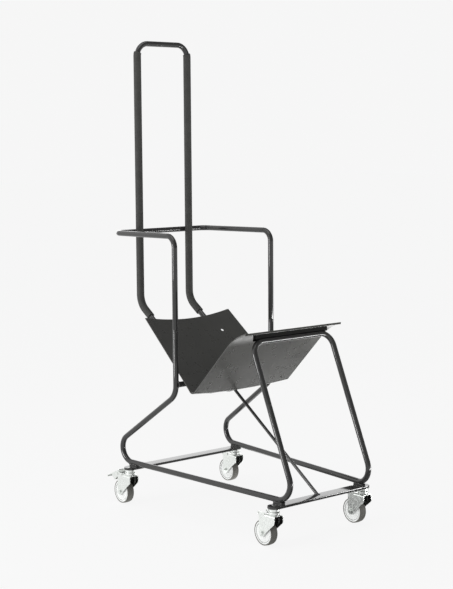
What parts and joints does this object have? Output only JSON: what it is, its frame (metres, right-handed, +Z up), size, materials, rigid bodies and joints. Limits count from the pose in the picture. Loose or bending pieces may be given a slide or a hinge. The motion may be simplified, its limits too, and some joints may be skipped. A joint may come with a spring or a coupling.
{
  "type": "stacking chair trolley",
  "caption": "Bent-tube trolley that carries a stack of chairs on a folded seat plate against a tall sleeved hoop, with push arms, swivel casters and a foot brake.",
  "frame": {"origin": "on the floor, under the middle of the trolley's length and width", "axes": "+X to the front, towards the lip of the seat plate; +Y to the left; +Z up"},
  "size_m": [0.8615, 0.502, 1.535],
  "materials": {
    "frame_paint": "satin black paint",
    "plate_coat": "fine matt black powder coat",
    "sleeve_grey": "matt dark grey soft sleeve",
    "pad_rubber": "black rubber strip",
    "zinc_plate": "bright zinc plate",
    "wheel_plastic": "light grey moulded plastic",
    "tyre_rubber": "dark grey rubber"
  },
  "bodies": {
    "frame": {"side_frame_left": "frame_paint", "side_frame_right": "frame_paint", "arm_loop": "frame_paint", "front_hoop": "frame_paint", "joint_spigots": "zinc_plate", "joint_rivets": "frame_paint", "rear_cross_tube": "frame_paint", "front_cross_bar": "frame_paint", "rear_cross_bar": "frame_paint", "rail_pads": "frame_paint", "brace_rod": "frame_paint", "seat_plate": "plate_coat", "lip_pad": "pad_rubber", "back_hoop": "frame_paint", "hoop_sleeve_left": "sleeve_grey", "hoop_sleeve_right": "sleeve_grey", "hoop_screws": "zinc_plate", "swivel_balls": "zinc_plate", "caster_head_front_left": "zinc_plate", "caster_head_front_right": "zinc_plate", "caster_head_rear_left": "zinc_plate", "caster_head_rear_right": "zinc_plate"},
    "swivel_front_left": {"fork_front_left": "zinc_plate", "axle_sleeve_front_left": "zinc_plate", "axle_bolt_front_left": "zinc_plate", "axle_nut_front_left": "zinc_plate"},
    "swivel_front_right": {"fork_front_right": "zinc_plate", "axle_sleeve_front_right": "zinc_plate", "axle_bolt_front_right": "zinc_plate", "axle_nut_front_right": "zinc_plate"},
    "swivel_rear_left": {"fork_rear_left": "zinc_plate", "axle_sleeve_rear_left": "zinc_plate", "axle_bolt_rear_left": "zinc_plate", "axle_nut_rear_left": "zinc_plate"},
    "swivel_rear_right": {"fork_rear_right": "zinc_plate", "axle_sleeve_rear_right": "zinc_plate", "axle_bolt_rear_right": "zinc_plate", "axle_nut_rear_right": "zinc_plate", "brake_pin": "zinc_plate"},
    "wheel_front_left": {"wheel_centre_front_left": "wheel_plastic", "tyre_front_left": "tyre_rubber"},
    "wheel_front_right": {"wheel_centre_front_right": "wheel_plastic", "tyre_front_right": "tyre_rubber"},
    "wheel_rear_left": {"wheel_centre_rear_left": "wheel_plastic", "tyre_rear_left": "tyre_rubber"},
    "wheel_rear_right": {"wheel_centre_rear_right": "wheel_plastic", "tyre_rear_right": "tyre_rubber"},
    "brake": {"brake_pedal": "zinc_plate"}
  },
  "joints": [
    {"name": "swivel_front_left_turn", "type": "hinge", "parent": "frame", "child": "swivel_front_left", "pos_m": [0.374, 0.186, 0.04], "axis": [0, 0, 1], "continuous": true},
    {"name": "swivel_front_right_turn", "type": "hinge", "parent": "frame", "child": "swivel_front_right", "pos_m": [0.374, -0.186, 0.04], "axis": [0, 0, 1], "continuous": true},
    {"name": "swivel_rear_left_turn", "type": "hinge", "parent": "frame", "child": "swivel_rear_left", "pos_m": [-0.3, 0.228, 0.04], "axis": [0, 0, 1], "continuous": true},
    {"name": "swivel_rear_right_turn", "type": "hinge", "parent": "frame", "child": "swivel_rear_right", "pos_m": [-0.3, -0.228, 0.04], "axis": [0, 0, 1], "continuous": true},
    {"name": "wheel_front_left_roll", "type": "hinge", "parent": "swivel_front_left", "child": "wheel_front_left", "pos_m": [0.337, 0.186, 0.04], "axis": [0, 1, 0], "continuous": true},
    {"name": "wheel_front_right_roll", "type": "hinge", "parent": "swivel_front_right", "child": "wheel_front_right", "pos_m": [0.337, -0.186, 0.04], "axis": [0, 1, 0], "continuous": true},
    {"name": "wheel_rear_left_roll", "type": "hinge", "parent": "swivel_rear_left", "child": "wheel_rear_left", "pos_m": [-0.337, 0.228, 0.04], "axis": [0, 1, 0], "continuous": true},
    {"name": "wheel_rear_right_roll", "type": "hinge", "parent": "swivel_rear_right", "child": "wheel_rear_right", "pos_m": [-0.337, -0.228, 0.04], "axis": [0, 1, 0], "continuous": true},
    {"name": "brake_press", "type": "hinge", "parent": "swivel_rear_right", "child": "brake", "pos_m": [-0.35, -0.228, 0.099], "axis": [0, -1, 0], "range_deg": [0, 12]}
  ]
}
